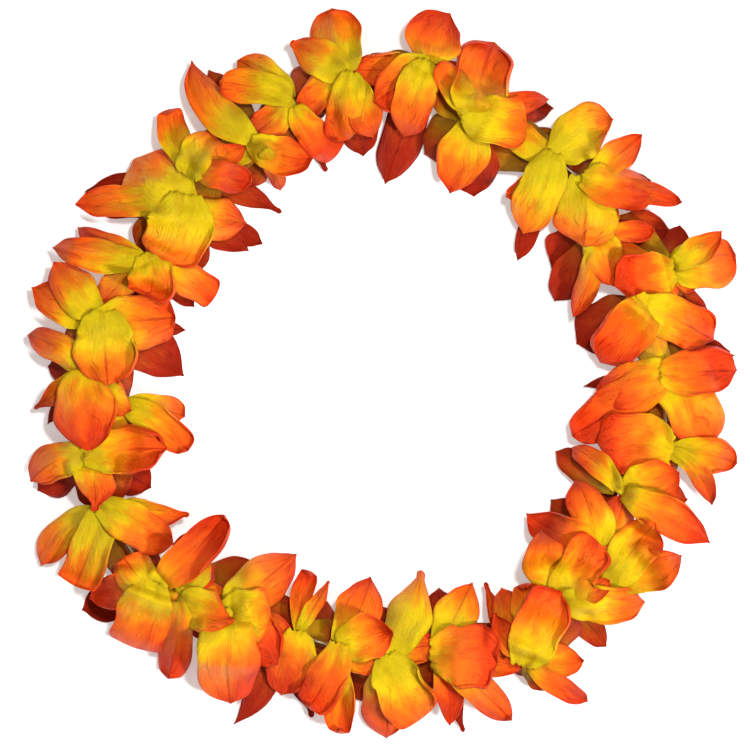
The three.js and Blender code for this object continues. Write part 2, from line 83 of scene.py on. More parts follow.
# The petals that close the spans between blooms: one under the cord, dark with the painted shade of the low
# petals, and one over it
TUBES_SEEN = (0, 5, 11, 12, 16, 25, 30)
UNDER_WIDTH = 42  # px
OVER_WIDTH = 30  # px
LEAST_SPAN = 46  # px
SPAN_SHIFT = 9  # px
SAG_UNDER = [0, 2, 5, 7, 8]
SAG_OVER = [0, 0.5, 0.9, 0.4, 1.5]
EDGE_DROOP = [0, 1.5, 3, 3, 3]

# Each bloom, as in the solids: its eye, its level in the overlap and its petals, in px, y down.
# A petal is [tip x, tip y, greatest width, kind, sideways bow, own level], the last two at need.
# Of the dyes, yellow has orange at its tip only, red has it nearly to the root, olive a little further than
# yellow.
BLOOMS = [
    {"eye": (472, 118), "level": 30, "petals": [
        [526, 125, 44, "square yellow", 0, 30.3], [549, 98, 24, "point red"], [495, 41, 52, "round"],
        [436, 66, 28, "point"], [450, 193, 46, "point"], [474, 196, 38, "low red"],
        [555, 107, 24, "low red"], [424, 152, 36, "low olive"]]},
    {"eye": (427, 68), "level": 29, "petals": [
        [448, 10, 52, "point red"], [372, 100, 44, "plain"], [400, 136, 38, "plain"],
        [384, 183, 32, "low red"], [462, 88, 28, "low"]]},
    {"eye": (348, 78), "level": 28, "petals": [
        [333, 8, 38, "fold"], [290, 44, 35, "knob"], [340, 142, 34, "plain"], [376, 137, 32, "plain"],
        [365, 155, 30, "low red"], [405, 58, 24, "foot olive"]]},
    {"eye": (293, 104), "level": 27, "petals": [
        [238, 58, 32, "plain yellow"], [221, 80, 32, "plain yellow"], [335, 157, 30, "square red"],
        [327, 170, 20, "low knob red"], [328, 96, 26, "low"]]},
    {"eye": (258, 145), "level": 26, "petals": [
        [213, 131, 12, "edge curl yellow", -8], [313, 158, 34, "plain"], [280, 190, 16, "fold"],
        [196, 59, 30, "point", 8], [208, 68, 24, "low olive"], [240, 186, 28, "low"]]},
    {"eye": (195, 170), "level": 25, "petals": [
        [166, 110, 28, "curl"], [216, 138, 40, "plain olive"], [249, 152, 22, "plain"],
        [250, 188, 27, "plain red"], [282, 210, 20, "low knob red"], [158, 178, 28, "low"]]},
    {"eye": (185, 205), "level": 24, "petals": [
        [135, 157, 60, "round yellow"], [84, 190, 34, "low round red"], [76, 209, 28, "round"],
        [165, 264, 60, "round yellow"], [246, 227, 35, "point"], [262, 244, 20, "low red"],
        [247, 252, 26, "low point red"], [198, 273, 25, "low"]]},
    {"eye": (148, 262), "level": 23, "petals": [
        [76, 227, 22, "point red"], [52, 248, 30, "fold"], [150, 298, 42, "curl"],
        [216, 295, 30, "square"], [192, 308, 16, "low red"], [118, 290, 25, "low"]]},
    {"eye": (103, 320), "level": 22, "petals": [
        [33, 284, 40, "point"], [56, 261, 38, "point"], [176, 318, 50, "round"],
        [107, 385, 56, "round yellow"], [183, 376, 38, "low point red"], [185, 329, 14, "low"]]},
    {"eye": (88, 371), "level": 21, "petals": [
        [27, 334, 24, "plain"], [46, 366, 22, "low red"], [33, 408, 20, "knob"],
        [131, 414, 26, "plain yellow"], [90, 452, 56, "point red"], [110, 400, 28, "low"],
        [45, 424, 14, "low point red"]]},
    {"eye": (123, 403), "level": 18.5, "petals": [
        [184, 419, 26, "fold olive"], [187, 452, 30, "plain"], [72, 400, 30, "low"],
        [104, 446, 30, "low"]]},
    {"eye": (90, 454), "level": 19, "petals": [
        [167, 452, 42, "round"], [98, 511, 36, "knob"], [29, 481, 28, "fold"], [36, 492, 30, "low red"],
        [90, 509, 25, "low red"], [150, 489, 30, "low red"]]},
    {"eye": (106, 511), "level": 18, "petals": [
        [40, 567, 30, "fold"], [80, 583, 24, "low olive"], [76, 586, 38, "square yellow"],
        [155, 505, 24, "plain"], [175, 545, 38, "plain"], [189, 511, 25, "knob"]]},
    {"eye": (156, 587), "level": 17, "petals": [
        [125, 556, 36, "plain yellow"], [88, 597, 30, "plain red"], [133, 648, 46, "square"],
        [80, 613, 30, "foot red"], [197, 526, 26, "edge"], [223, 514, 36, "point red"]]},
    {"eye": (181, 597), "level": 16, "petals": [
        [214, 566, 25, "plain red"], [207, 549, 30, "curl yellow"], [236, 617, 38, "knob"],
        [167, 678, 30, "fold red"], [195, 632, 20, "low red"], [262, 566, 30, "low"]]},
    {"eye": (231, 613), "level": 15, "petals": [
        [272, 616, 50, "round yellow"], [281, 661, 50, "point red"], [226, 704, 50, "plain valley"],
        [232, 726, 28, "low point red", 34], [299, 558, 44, "point"]]},
    {"eye": (298, 635), "level": 14, "petals": [
        [310, 571, 20, "curl red"], [329, 581, 14, "knob"], [330, 664, 18, "low"],
        [284, 697, 42, "plain red"], [313, 719, 24, "low knob red"], [262, 598, 30, "low"]]},
    {"eye": (338, 647), "level": 13, "petals": [
        [374, 578, 42, "point"], [391, 626, 42, "knob"], [394, 612, 14, "low"],
        [335, 733, 28, "curl"], [308, 706, 36, "curl red", 0, 14.5], [300, 600, 28, "low"]]},
    {"eye": (389, 659), "level": 12, "petals": [
        [425, 572, 38, "knob yellow"], [387, 740, 48, "point"], [421, 719, 46, "square yellow"],
        [352, 700, 34, "low"], [372, 606, 30, "low"], [436, 690, 30, "low"]]},
    {"eye": (440, 652), "level": 11, "petals": [
        [473, 583, 38, "point yellow"], [497, 660, 56, "round red"], [449, 726, 24, "point red"],
        [463, 734, 18, "low knob red"], [508, 722, 28, "point"], [440, 589, 26, "low"]]},
    {"eye": (526, 658), "level": 10, "petals": [
        [481, 585, 20, "knob"], [498, 588, 30, "plain"], [523, 583, 28, "curl"],
        [490, 614, 24, "knob red", 6], [530, 603, 12, "edge"], [560, 590, 46, "round"],
        [582, 655, 32, "point"], [586, 705, 16, "edge red", 6], [513, 674, 16, "low"],
        [556, 690, 24, "low"]]},
    {"eye": (565, 598), "level": 9, "petals": [
        [541, 529, 38, "point"], [599, 543, 40, "square"], [645, 603, 34, "round olive"],
        [610, 581, 18, "plain"], [608, 648, 20, "low"], [555, 545, 30, "low"]]},
    {"eye": (613, 577), "level": 8, "petals": [
        [655, 523, 40, "round yellow", -1], [680, 553, 38, "point"], [625, 590, 24, "low"],
        [590, 622, 30, "low"]]},
    {"eye": (598, 545), "level": 6, "petals": [
        [579, 478, 38, "point"], [528, 512, 36, "point red"], [552, 500, 24, "low olive"],
        [646, 566, 30, "low"], [560, 586, 28, "low"]]},
    {"eye": (619, 491), "level": 7, "petals": [
        [678, 470, 42, "point"], [688, 516, 30, "plain"], [709, 546, 30, "point red"],
        [575, 444, 22, "plain"], [556, 452, 24, "low"], [690, 500, 30, "foot"]]},
    {"eye": (666, 450), "level": 5, "petals": [
        [598, 447, 56, "round red"], [738, 462, 24, "point"], [711, 506, 16, "edge", 5],
        [694, 418, 30, "low"], [640, 500, 34, "low"]]},
    {"eye": (664, 372), "level": 4, "petals": [
        [598, 402, 38, "plain red"], [736, 355, 22, "point red"], [738, 373, 36, "plain red"],
        [732, 350, 30, "low red"], [712, 448, 50, "plain under"], [572, 436, 42, "plain red under"],
        [585, 388, 12, "low point red"]]},
    {"eye": (648, 308), "level": 3, "petals": [
        [607, 326, 34, "plain"], [594, 314, 16, "low knob red"],
        [712, 343, 42, "round", 0, 4.5], [600, 362, 46, "round red"], [578, 345, 45, "low red"]]},
    {"eye": (667, 270), "level": 2, "petals": [
        [703, 279, 30, "plain"], [614, 288, 45, "round red"], [736, 256, 36, "fold"],
        [721, 230, 25, "point", -1], [680, 224, 20, "low red"], [708, 330, 20, "low red"]]},
    {"eye": (597, 238), "level": 1, "petals": [
        [655, 234, 19, "plain red"], [672, 228, 32, "low"], [612, 287, 36, "curl"],
        [576, 319, 22, "point"], [552, 267, 45, "low red"], [557, 302, 30, "low red"]]},
    {"eye": (587, 184), "level": 1.5, "petals": [
        [578, 246, 56, "round yellow"], [655, 190, 38, "plain red"], [653, 181, 14, "low red"],
        [682, 200, 22, "point red"], [644, 137, 28, "point"], [541, 206, 30, "low"]]},
    {"eye": (552, 158), "level": 1.8, "petals": [
        [614, 124, 42, "point yellow"], [524, 132, 30, "low yellow"], [520, 232, 42, "plain yellow"],
        [549, 209, 16, "plain"], [507, 201, 20, "plain"], [600, 147, 26, "low"],
        [580, 180, 24, "low"], [519, 261, 18, "low curl red"]]},
]
# Where the cloth differs from its blade: by eye and tip, a sideways bow and a widening, in px
CLOTH_BENDS = {
    ((106, 511), (40, 567)): (-9, 2),
    ((88, 371), (27, 334)): (-6, 3),
    ((258, 145), (196, 59)): (6, 4),
    ((552, 158), (614, 124)): (6, 7),
    ((526, 658), (586, 705)): (-7, 4),
    ((667, 270), (736, 256)): (-2, 12),
    ((348, 78), (333, 8)): (2, 6),
    ((565, 598), (541, 529)): (5, 4),
    ((231, 613), (226, 704)): (0, 6),
    ((90, 454), (29, 481)): (-6, 6),
    ((664, 372), (738, 373)): (0, 6),
    ((185, 205), (246, 227)): (-4, 6),
    ((666, 450), (738, 462)): (3, 8),
    ((156, 587), (133, 648)): (0, 4),
    ((619, 491), (709, 546)): (3, 4),
    ((440, 652), (508, 722)): (4, 3),
    ((666, 450), (711, 506)): (4, 2),
}

# Spans between an eye and the next, numbered from 0
SPANS_WITHOUT_TUBE = (8, 9, 14, 22, 27)
KNOT_SPAN = 9


def plan_point(x, y):
    return np.array([(x - PLAN_CENTRE[0]) * MM_PER_PX, (PLAN_CENTRE[1] - y) * MM_PER_PX])


def unit(v):
    return v / np.linalg.norm(v)


def left_of(way):
    """The direction to the left of a way in the plan."""
    return np.stack([-way[..., 1], way[..., 0]], axis=-1)


def level_and_up(way):
    """Two directions square to a way: a level one and an upright one."""
    side = unit(np.array([-way[1], way[0], 0]))
    return side, np.cross(way, side)


def turned_out(side, up, angle):
    return side * math.cos(angle) + up * math.sin(angle)


def full_turn(count):
    return [2 * math.pi * i / count for i in range(count)]


def smooth_step(low, high, x):
    t = np.clip((x - low) / (high - low), 0, 1)
    return t * t * (3 - 2 * t)


def smooth_curve(xs, ys, x):
    """A monotone cubic through a few points, so that it never overshoots them."""
    xs, ys = np.asarray(xs, float), np.asarray(ys, float)
    h, d = np.diff(xs), np.diff(ys) / np.diff(xs)
    m = np.zeros_like(xs)
    m[0], m[-1] = d[0], d[-1]
    for i in range(1, len(xs) - 1):
        if d[i - 1] * d[i] > 0:
            w1, w2 = 2 * h[i] + h[i - 1], h[i] + 2 * h[i - 1]
            m[i] = (w1 + w2) / (w1 / d[i - 1] + w2 / d[i])
    i = np.clip(np.searchsorted(xs, x) - 1, 0, len(h) - 1)
    t = (x - xs[i]) / h[i]
    return (
        ys[i] * (1 + 2 * t) * (1 - t) ** 2
        + h[i] * m[i] * t * (1 - t) ** 2
        + ys[i + 1] * t * t * (3 - 2 * t)
        + h[i] * m[i + 1] * t * t * (t - 1)
    )


def add_span_petals():
    for number, bloom in enumerate(BLOOMS):
        (x0, y0), (x1, y1) = bloom["eye"], BLOOMS[(number + 1) % len(BLOOMS)]["eye"]
        length = math.hypot(x1 - x0, y1 - y0)
        reach = max(length, LEAST_SPAN) / length
        x, y = x0 + (x1 - x0) * reach, y0 + (y1 - y0) * reach
        shift = SPAN_SHIFT if number % 2 else -SPAN_SHIFT
        over_x, over_y = -(y1 - y0) / length, (x1 - x0) / length
        bloom["petals"].append([x - over_x * shift, y - over_y * shift, UNDER_WIDTH, "low span olive"])
        if number not in TUBES_SEEN:
            bloom["petals"].append([x + over_x * shift, y + over_y * shift, OVER_WIDTH, "cover"])


add_span_petals()

# The eyes along the cord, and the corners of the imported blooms
EYES = []
CORNERS = []
for k, bloom in enumerate(BLOOMS):
    x, y = plan_point(*bloom["eye"])
    EYES.append(np.array([x, y, CORD_HEIGHT + CORD_WAVE * math.sin(k * CORD_WAVE_TURN)]))
    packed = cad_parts[f"bloom_{k + 1:02d}"].data
    CORNERS.append(np.array([v.co for v in packed.vertices]) * MM_PER_M)


def next_eye(k):
    return EYES[(k + 1) % len(EYES)]


def cord_way(k):
    return unit(next_eye(k) - EYES[k - 1])


class Petal:
    """One petal: its middle line and outline in the plan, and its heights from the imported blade."""

    def __init__(self, k, entry):
        x, y, self.width, kind = entry[:4]
        bow = entry[4] if len(entry) > 4 else 0
        level = entry[5] if len(entry) > 5 else BLOOMS[k]["level"]
        self.k = k
        self.words = kind.split()
        self.low = "low" in self.words or "foot" in self.words
        self.cover = "cover" in self.words
        pinched = any(word in self.words for word in ("point", "knob", "edge", "fold"))
        self.broad = self.width >= BROAD and not pinched and not self.low
        self.order = self.order_from(level)
        self.tip = plan_point(x, y)
        self.place_root()
        left = unit(left_of(self.tip - self.root))
        self.bend = (self.root + self.tip) / 2 + left * 2 * bow * MM_PER_PX
        line = self.middle(np.linspace(0, 1, 21))
        self.length = np.linalg.norm(np.diff(line, axis=0), axis=1).sum()
        self.tip_kind = next((name for name in OUTLINES if name in self.words), "plain")
        self.widest = self.width * MM_PER_PX / 2
        self.few = self.low or self.width < SLIM
        self.rows = FEWER_ROWS if self.few else ROWS
        spans = "span" in self.words or self.cover
        self.heights = self.span_heights() if spans else self.read_heights()
        place = (BLOOMS[k]["eye"], (x, y))
        self.bend_seen = place in CLOTH_BENDS
        bow, wider = CLOTH_BENDS.get(place, (0, 0))
        self.bow_by(bow * MM_PER_PX)
        self.widest += wider * MM_PER_PX / 2

    def order_from(self, level):
        """The petal's place in the overlap, from the bottom up."""
        level -= UNDER_STEP if "under" in self.words else 0
        level -= LOW_STEP if self.low else 0
        level -= COVER_STEP if self.cover else 0
        return level + (BROAD_STEP if self.broad else 0)

    def place_root(self):
        """The root stands on the eye's ring, above the cord or, if low, below it."""
        eye = EYES[self.k]
        way = unit(self.tip - eye[:2])
        side = left_of(unit(cord_way(self.k)[:2]))
        offset = ROOT_SPREAD * (way @ side)
        rise = math.sqrt(1 - offset * offset) * (-1 if self.low else 1)
        self.root = eye[:2] + side * ROOT_RING_RADIUS * offset - way * ROOT_SINK
        self.root_z = eye[2] + ROOT_RING_RADIUS * rise + BLADE_THICKNESS / 2

    def bow_by(self, amount):
        self.bend = self.bend + unit(left_of(self.tip - self.root)) * 2 * amount

    def middle(self, s):
        s = np.asarray(s)[..., None]
        return (1 - s) ** 2 * self.root + 2 * s * (1 - s) * self.bend + s**2 * self.tip

    def ahead(self, s):
        s = np.asarray(s)[..., None]
        t = 2 * (1 - s) * (self.bend - self.root) + 2 * s * (self.tip - self.bend)
        return t / np.linalg.norm(t, axis=-1, keepdims=True)

    def span_heights(self):
        """Heights of a petal that isn't in the solids: one under the cord sags, one over it rests on it."""
        line = np.interp(self.rows, ROWS, SAG_OVER if self.cover else SAG_UNDER)
        droop = np.interp(self.rows, ROWS, EDGE_DROOP)
        return self.root_z - np.array([line + droop, line, line + droop])

    def read_heights(self):
        """Heights of the left edge, middle and right edge at each row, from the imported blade's corners."""
        cloud = CORNERS[self.k]
        outline = OUTLINES[self.tip_kind]
        halves = outline["fewer" if self.few else "half"]
        found = np.full((3, len(self.rows)), np.nan)
        found[:, 0] = self.root_z
        for row, s in enumerate(self.rows[1:], 1):
            centre, ahead = self.middle(s), self.ahead(s)
            across = left_of(ahead)
            half = max(self.widest * halves[row], LEAST_HALF_WIDTH)
            back = outline["back"] * self.length if s == 1 else 0
            for i, sign in enumerate((1, 0, -1)):
                p = centre + across * half * sign - ahead * back * abs(sign)
                z = cloud[np.hypot(cloud[:, 0] - p[0], cloud[:, 1] - p[1]) < CORNER_REACH, 2]
                if len(z) and z.max() - z.min() > LEAST_CORNER_HEIGHT:
                    found[i, row] = z.max()
        rows = np.array(self.rows)
        for line in found:
            known = ~np.isnan(line)
            line[~known] = np.interp(rows[~known], rows[known], line[known])
        return found


PETALS = [Petal(k, entry) for k, bloom in enumerate(BLOOMS) for entry in bloom["petals"]]
PETALS.sort(key=lambda petal: petal.order)

# The cloth
CLOTH_THICKNESS = 0.34
CLOTH_GAP = 0.25  # between two settled sheets
FLOOR_ROOM = 0.3
UPPER_GRID = (44, 21)  # rows and columns
LOW_GRID = (22, 11)
ROW_POWER = 1.2  # the rows stand closer toward the tip
WIDER = 1.08
LOW_WIDER = 1.3  # the petals underneath fill the gaps
LEAST_CLOTH_HALF = 0.2
BROAD_BACK = 5.0  # how far a broad petal reaches back over its eye
BROAD_LIFT = 1.2
BROAD_FRAY = 0.03
SIDE_LEAN = 0.28
EDGE_WAVE = 0.06
EDGE_WAVES = 1.9
RIM_STRETCH = 1.25
MOST_RIM_TURN = 2.6  # radians
SWAY = 2.6  # how far an upper petal may bow sideways where no bow was seen
LIGHT_WAY = np.array([0.85, -0.52])  # in the plan, toward the light

# How the half width of the cloth runs from root to tip, and how far its corners draw back
CLOTH_OUTLINES = {
    "plain": (
        [0, 0.12, 0.3, 0.56, 0.76, 0.89, 0.96, 1],
        [0.4, 0.72, 0.95, 1.04, 0.92, 0.66, 0.36, 0.06],
        0.04,
    ),
    "point": (
        [0, 0.12, 0.3, 0.52, 0.78, 0.92, 1],
        [0.4, 0.7, 0.96, 1.05, 0.76, 0.36, 0.05],
        0.03,
    ),
    "round": (
        [0, 0.12, 0.3, 0.6, 0.8, 0.9, 0.96, 1],
        [0.4, 0.72, 0.94, 1.04, 0.95, 0.76, 0.52, 0.24],
        0.08,
    ),
    "square": (
        [0, 0.12, 0.3, 0.6, 0.85, 0.96, 1],
        [0.4, 0.7, 0.92, 1.03, 1.03, 0.94, 0.78],
        0.04,
    ),
    "knob": (
        [0, 0.12, 0.3, 0.5, 0.72, 0.84, 0.92, 1],
        [0.4, 0.72, 1, 1.06, 0.7, 0.36, 0.2, 0.2],
        0.03,
    ),
}


def rolled_length(petal, T, free):
    """How far forward each point lies, and how far the roll of the tip lifts it."""
    r = petal.random
    turn, radius = abs(r["roll"]) * free, r["radius"]
    straight = petal.length - radius * math.sin(min(turn, math.pi / 2))
    behind = BROAD_BACK if petal.broad else 0
    way = -behind + T * (straight + radius * turn + behind)
    past = np.maximum(way - straight, 0) / radius
    forward = np.minimum(way, straight) + radius * np.sin(past)
    return forward, math.copysign(1, r["roll"]) * radius * (1 - np.cos(past))


def half_width(petal, T, A):
    r = petal.random
    xs, ys, _ = CLOTH_OUTLINES[petal.tip_kind]
    share = smooth_curve(xs, ys, T ** (1 + SIDE_LEAN * r["lean"] * np.sign(A)))
    start = np.where(A > 0, r["left"], r["right"])
    share = share * (1 + EDGE_WAVE * np.sin(2 * math.pi * (EDGE_WAVES * T + start)))
    if petal.broad:
        share = np.maximum(share, 0.45 + 0.5 * smooth_step(-0.05, 0.3, T) - smooth_step(0.3, 0.6, T))
    return np.maximum(share * petal.widest * (LOW_WIDER if petal.low else WIDER), LEAST_CLOTH_HALF)


def rolled_rims(petal, T, A, half, shown):
    """How far out and up each point lies, with rims that roll over on a small radius."""
    r = petal.random
    roll = np.where(A > 0, r["left roll"], r["right roll"])
    flat_part = 1 - roll * smooth_step(0.15, 0.5, T) * shown
    rest = np.maximum(np.abs(A) - flat_part, 0) * half * RIM_STRETCH
    turn = np.minimum(rest / r["rim radius"], MOST_RIM_TURN)
    out = np.minimum(np.abs(A), flat_part) * half + r["rim radius"] * np.sin(turn)
    for side in (A >= 0, A <= 0):
        reached = np.max(np.where(side, out, 0), axis=1, keepdims=True)
        out = np.where(side, out * half / np.maximum(reached, 0.1), out)
    return out, r["rim way"] * r["rim radius"] * (1 - np.cos(turn))


def blade_height(petal, where, A):
    """The height of the blade's middle surface, from its three read lines."""
    left, middle, right = (smooth_curve(petal.rows, line, where) for line in petal.heights)
    slope, arch = (left - right) / 2, (left + right) / 2 - middle
    bend = np.abs(A) ** 1.25 if "fold" in petal.words else A**2
    return middle + slope * A + arch * bend - BLADE_THICKNESS / 2


def cloth_surface(petal, exposure=None):
    """Points of a petal's mid surface in rows and columns, with T from root to tip and A across it.

    Exposure says where the cloth is free to roll and wave.
    """
    rows, columns = LOW_GRID if petal.low else UPPER_GRID
    t = 1 - (1 - np.linspace(0, 1, rows)) ** ROW_POWER
    T, A = np.meshgrid(t, np.linspace(1, -1, columns), indexing="ij")
    r = petal.random
    plain = exposure is None
    forward, rise = rolled_length(petal, T, 1 if plain else exposure[-3:].mean())
    half = half_width(petal, T, A)
    rim_out, rim_up = rolled_rims(petal, T, A, half, 1 if plain else exposure)
    S = forward / petal.length - CLOTH_OUTLINES[petal.tip_kind][2] * A**2 * T**4
    if petal.broad:
        fray = BROAD_FRAY * (1 - smooth_step(0, 0.1, T))
        S = S + fray * np.sin(9 * A + 6 * r["left"]) * np.sin(4 * A + 6 * r["right"])
    where = np.clip(S, 0, 1)
    z = blade_height(petal, where, A) + rise
    if petal.broad:
        z = z + BROAD_LIFT * (1 - smooth_step(0.05, 0.2, T))
    z = z + rim_up
    sideways = np.sign(A) * rim_out + r["tip shift"] * T**3
    plan = petal.middle(S) + left_of(petal.ahead(where)) * sideways[..., None]
    if not plain:
        z = z + cloth_shape(petal, T, A, half, exposure)
    return np.dstack([plan, np.maximum(z, FLOOR_ROOM)]), T, A


def pressed_middle(petal, T, A, half, grown):
    """The crease, fold, keel or valley along a petal's middle."""
    r = petal.random
    away = -np.sign(left_of(petal.ahead(0.5)) @ LIGHT_WAY)
    crease = -r["crease"] * np.exp(-np.abs(A / 0.16) ** 1.3) * smooth_step(0.05, 0.3, T)
    crease = crease * (1 - smooth_step(0.75, 1, T))
    if "fold" in petal.words:
        crease = -np.where(A * away > 0, 0.95, 0.15) * half * np.abs(A) * grown
    elif not petal.low:
        keel = np.sqrt(A**2 + 0.02) * np.where(A * away > 0, 1, 0.25)
        crease = crease - r["keel"] * half * keel * grown
    if "valley" in petal.words:
        crease = 0.5 * half * np.abs(A) * grown
    return crease


def side_fold(petal, T, A, half):
    r = petal.random
    from_fold = (A - r["fold place"] - 0.35 * (T - 0.5)) * half
    return r["fold"] * np.exp(-np.abs(from_fold / 2.0) ** 1.5) * smooth_step(0.2, 0.5, T)


def tip_crumples(petal, T, A, half, exposure):
    r = petal.random
    u, v = A * half / 3.1 + 9 * r["left"], T * petal.length / 3.7 + 9 * r["right"]
    crumple = np.sin(u + 1.3 * np.sin(v)) * np.sin(v + 1.1 * np.sin(0.8 * u))
    return r["crumple"] * crumple * smooth_step(0.45, 0.85, T) * exposure


def cloth_shape(petal, T, A, half, exposure):
    """What pressing and handling add to the blade's form, upwards."""
    r = petal.random
    grown = smooth_step(0.05, 0.35, T)
    cup = r["cup"] * half * (A**2 - 0.35) * grown
    phase = np.where(A > 0, r["left"], r["right"])
    wave = r["wave"] * np.abs(A) ** 2.5 * np.sin(2 * math.pi * (r["waves"] * T + phase))
    buckle = r["buckle"] * np.sin(3.4 * A + 6 * T + 6 * r["left"]) * np.sin(6 * T - 2 * A + 6 * r["right"])
    rim = np.where(A > 0, r["left rim"], r["right rim"]) * smooth_step(0.55, 1.05, np.abs(A)) ** 1.5
    rim = rim * smooth_step(0.2, 0.55, T) * half / 10
    crease = (
        pressed_middle(petal, T, A, half, grown)
        + side_fold(petal, T, A, half)
        + tip_crumples(petal, T, A, half, exposure)
    )
    return (cup + wave + buckle) * grown * (0.35 + 0.65 * exposure) + crease + rim * exposure


rng = np.random.default_rng(5)
sway_rng = np.random.default_rng(8)


def lively_numbers(petal):
    """How one petal differs from the next, the same in each run."""
    lively = 0.4 if petal.low else 1
    curled = "curl" in petal.words
    return {
        "roll": (2.5 if curled else rng.choice([-1.1, -0.6, 0.6, 1.2, 1.7])) * lively,
        "radius": 4.6 if curled else rng.uniform(5, 9),
        "cup": rng.choice([-0.5, -0.3, 0.3, 0.45, 0.6]) * lively,
        "wave": rng.uniform(0.5, 1.6) * lively,
        "waves": rng.uniform(0.9, 1.9),
        "left": rng.random(),
        "right": rng.random(),
        "left rim": rng.uniform(-2.5, 4.0) * lively,
        "right rim": rng.uniform(-2.5, 4.0) * lively,
        "buckle": rng.uniform(0.4, 1.1) * lively,
        "tone": rng.random(),
        "lean": rng.uniform(-1, 1),
        "tip shift": rng.uniform(-2.8, 2.8) * lively,
        "crease": rng.uniform(0.2, 1.3) * lively,
        "fold place": rng.uniform(-0.6, 0.6),
        "fold": rng.choice([-1.4, -0.9, 0.8, 1.3]) * lively,
        "crumple": rng.uniform(0.15, 0.45) * lively,
        "left roll": rng.choice([0, 0.25, 0.4, 0.55]) * lively,
        "right roll": rng.choice([0, 0.25, 0.4, 0.55]) * lively,
        "rim radius": rng.uniform(1.6, 3.0),
        "rim way": rng.choice([-1, 1, 1]),
        "keel": rng.choice([0, 0, 0.45, 0.75, -0.4]),
    }


for petal in PETALS:
    petal.random = lively_numbers(petal)
    sway = sway_rng.uniform(-1, 1) * SWAY
    if not petal.low and not petal.bend_seen:
        petal.bow_by(sway)

# Settling, on a map of the plan in cells
CELL = 0.5
MAP_HALF = 230
MAP_SIDE = int(2 * MAP_HALF / CELL)
FINER = 4  # points of the map's grid to one of the cloth's
OWN_REACH = 4  # round its eye a petal meets its neighbours freely
SOFT_TOP = 47
SOFT_SHARE = 0.5
MOST_LIFT = 9
LIFT_BLUR = 6
EXPOSURE_BLUR = 5
# Painted shade in the cloth's colour: deep on the low petals, slight on the covers, and more where another
# petal lies over the cloth
SHADE_BLUR = 2
LOW_SHADE = 0.76
OVER_SHADE = 0.1
COVERED_SHADE = 0.3


def empty_map():
    return np.full((MAP_SIDE, MAP_SIDE), -1.0)


def cells(points):
    index = np.round((points[..., :2] + MAP_HALF) / CELL).astype(int)
    return index[..., 0], index[..., 1]


def finer(grid):
    """The grid of points with more rows and columns between its own."""
    rows = np.linspace(0, grid.shape[0] - 1, (grid.shape[0] - 1) * FINER + 1)
    columns = np.linspace(0, grid.shape[1] - 1, (grid.shape[1] - 1) * FINER + 1)
    i, j = np.floor(rows).astype(int), np.floor(columns).astype(int)
    i, j = np.minimum(i, grid.shape[0] - 2), np.minimum(j, grid.shape[1] - 2)
    u, v = (rows - i)[:, None, None], (columns - j)[None, :, None]
    a, b = grid[i][:, j], grid[i][:, j + 1]
    c, d = grid[i + 1][:, j], grid[i + 1][:, j + 1]
    return a * (1 - u) * (1 - v) + b * (1 - u) * v + c * u * (1 - v) + d * u * v


def blurred(field, passes):
    for _ in range(passes):
        padded = np.pad(field, 1, mode="edge")
        field = (
            padded[1:-1, 1:-1] * 2
            + padded[:-2, 1:-1]
            + padded[2:, 1:-1]
            + padded[1:-1, :-2]
            + padded[1:-1, 2:]
        ) / 6
    return field


def widest_of(field):
    padded = np.pad(field, 1, mode="edge")
    rows, columns = field.shape
    shifts = [padded[i:i + rows, j:j + columns] for i in range(3) for j in range(3)]
    return np.max(shifts, axis=0)


def near_eye(petal, points):
    eye = EYES[petal.k]
    return np.hypot(points[..., 0] - eye[0], points[..., 1] - eye[1]) < OWN_REACH


def uppermost(surfaces):
    """A map of which surface, by its number from the bottom up, is seen in each cell."""
    top = empty_map()
    for number, points in enumerate(surfaces):
        np.maximum.at(top, cells(finer(points)), number)
    return top


def covered(points, number, top):
    return (top[cells(points)] > number).astype(float)


def settle(petal, points, heights):
    """Lifts the cloth smoothly off what it would cut into."""
    points[..., 2] -= np.maximum(points[..., 2] - SOFT_TOP, 0) * SOFT_SHARE
    i, j = cells(points)
    under = np.full(points.shape[:2], -1.0)
    for di in (-1, 0, 1):
        for dj in (-1, 0, 1):
            under = np.maximum(under, heights[i + di, j + dj])
    need = under + CLOTH_GAP - (points[..., 2] - CLOTH_THICKNESS / 2)
    need = np.clip(need, 0, MOST_LIFT)
    if not petal.broad:
        need = np.where(near_eye(petal, points), 0, need)
    points[..., 2] += np.maximum(blurred(widest_of(widest_of(need)), LIFT_BLUR), need)
    return points


def stamp_cord(heights):
    """The cord and the tubes, as something that upper petals lie on."""
    for k, eye in enumerate(EYES):
        way = next_eye(k) - eye
        length = np.linalg.norm(way)
        outer = CORD_RADIUS if k in SPANS_WITHOUT_TUBE else TUBE_RADIUS
        for along in np.arange(TUBE_SETBACK, length - TUBE_SETBACK, CELL / 2):
            for across in np.arange(-outer, outer + 0.01, CELL / 2):
                p = eye + way * along / length
                p = p + np.array([-way[1], way[0], 0]) / length * across
                top = p[2] + math.sqrt(max(outer**2 - across**2, 0))
                np.maximum.at(heights, cells(p[None]), top)


def settle_all():
    """Shapes each petal and lays it on those before it. The cord comes after the low ones."""
    plain = [cloth_surface(petal)[0] for petal in PETALS]
    top = uppermost(plain)
    heights = empty_map()
    first_upper = next(petal for petal in PETALS if not petal.low)
    for number, petal in enumerate(PETALS):
        if petal is first_upper:
            stamp_cord(heights)
        exposure = 1 - blurred(covered(plain[number], number, top), EXPOSURE_BLUR)
        points, petal.T, petal.A = cloth_surface(petal, exposure)
        petal.points = settle(petal, points, heights)
        fine = finer(petal.points)
        fine = fine[~near_eye(petal, fine)]
        np.maximum.at(heights, cells(fine), fine[:, 2] + CLOTH_THICKNESS / 2)


